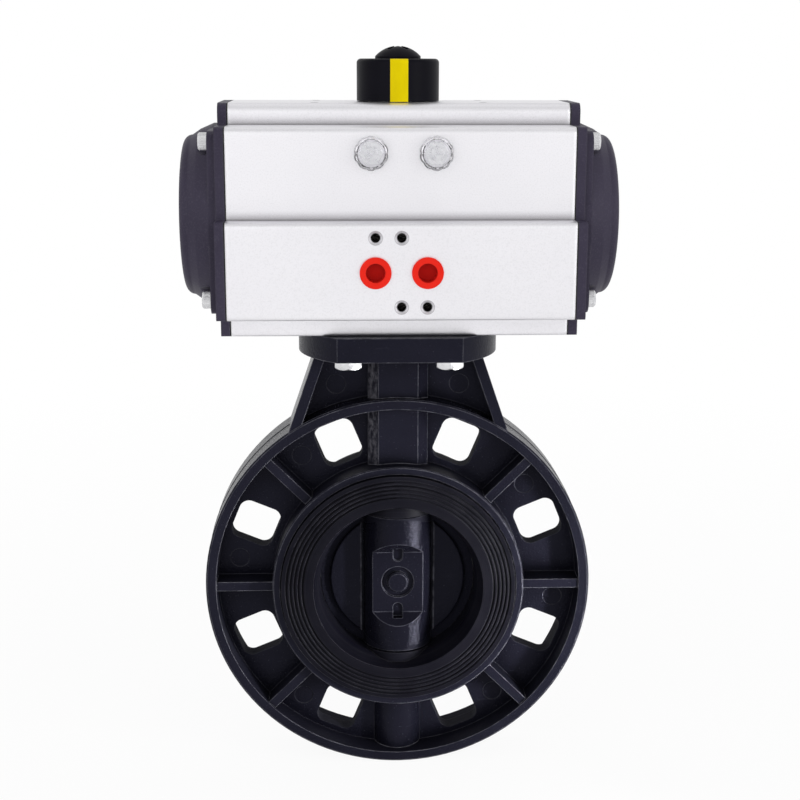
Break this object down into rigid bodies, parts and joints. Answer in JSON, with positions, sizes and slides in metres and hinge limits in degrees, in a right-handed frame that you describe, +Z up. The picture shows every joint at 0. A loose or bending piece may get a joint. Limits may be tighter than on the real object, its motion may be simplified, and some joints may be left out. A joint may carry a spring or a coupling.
{
  "type": "actuated wafer butterfly valve",
  "caption": "Wafer butterfly valve with a ribbed plastic body and rubber seat, turned a quarter turn by a pneumatic rack-and-pinion actuator with a position indicator.",
  "frame": {"origin": "where the pipe axis crosses the stem axis, at the disc's centre", "axes": "+Z up the stem towards the actuator, +Y along the pipe away from the solenoid face, +X to the right when facing the solenoid face"},
  "size_m": [0.2068, 0.1042, 0.3667],
  "materials": {
    "upvc": "gloss",
    "rubber": "satin",
    "seal_rubber": "matte",
    "aluminium": "satin",
    "black_paint": "satin",
    "steel": "satin",
    "acetal": "matte",
    "black_plastic": "satin",
    "yellow_plastic": "satin",
    "red_plastic": "satin",
    "clear_plastic": "gloss"
  },
  "bodies": {
    "housing": {"valve_body": "upvc", "seat_liner": "rubber", "upper_stem_bush": "acetal", "lower_stem_bush": "acetal", "mounting_bolts": "steel", "actuator_body": "aluminium", "left_end_cap": "black_paint", "right_end_cap": "black_paint", "left_cap_gasket": "seal_rubber", "right_cap_gasket": "seal_rubber", "left_cap_screws": "steel", "right_cap_screws": "steel", "thrust_washer": "acetal", "stop_bolts": "steel", "stop_nuts": "steel", "stop_caps": "clear_plastic", "port_plugs": "red_plastic"},
    "turning_gear": {"disc": "upvc", "disc_pin": "steel", "pin_plugs": "upvc", "valve_stem": "steel", "stem_seals": "seal_rubber", "stem_clip": "steel", "drive_adaptor": "steel", "pinion": "steel", "stop_cam": "steel", "lower_pinion_bearing": "acetal", "upper_pinion_bearing": "acetal", "lower_pinion_seal": "seal_rubber", "upper_pinion_seal": "seal_rubber", "pinion_clip": "steel", "indicator_housing": "black_plastic", "indicator_stripes": "yellow_plastic", "indicator_screw": "black_plastic"},
    "left_slider": {"left_piston": "aluminium", "left_guide_ring": "acetal", "left_piston_seal": "seal_rubber", "left_rack_pad": "acetal"},
    "right_slider": {"right_piston": "aluminium", "right_guide_ring": "acetal", "right_piston_seal": "seal_rubber", "right_rack_pad": "acetal"}
  },
  "joints": [
    {"name": "disc_turn", "type": "hinge", "parent": "housing", "child": "turning_gear", "pos_m": [0, 0, 0], "axis": [0, 0, 1], "range_deg": [0, 90]},
    {"name": "right_piston_slide", "type": "slide", "parent": "housing", "child": "right_slider", "axis": [1, 0, 0], "range_m": [0, 0.0236]},
    {"name": "left_piston_slide", "type": "slide", "parent": "housing", "child": "left_slider", "axis": [-1, 0, 0], "range_m": [0, 0.0236]}
  ],
  "couplings": [
    {"joint": "right_piston_slide", "follows": "disc_turn", "m_per_rad": 0.015},
    {"joint": "left_piston_slide", "follows": "disc_turn", "m_per_rad": 0.015}
  ]
}
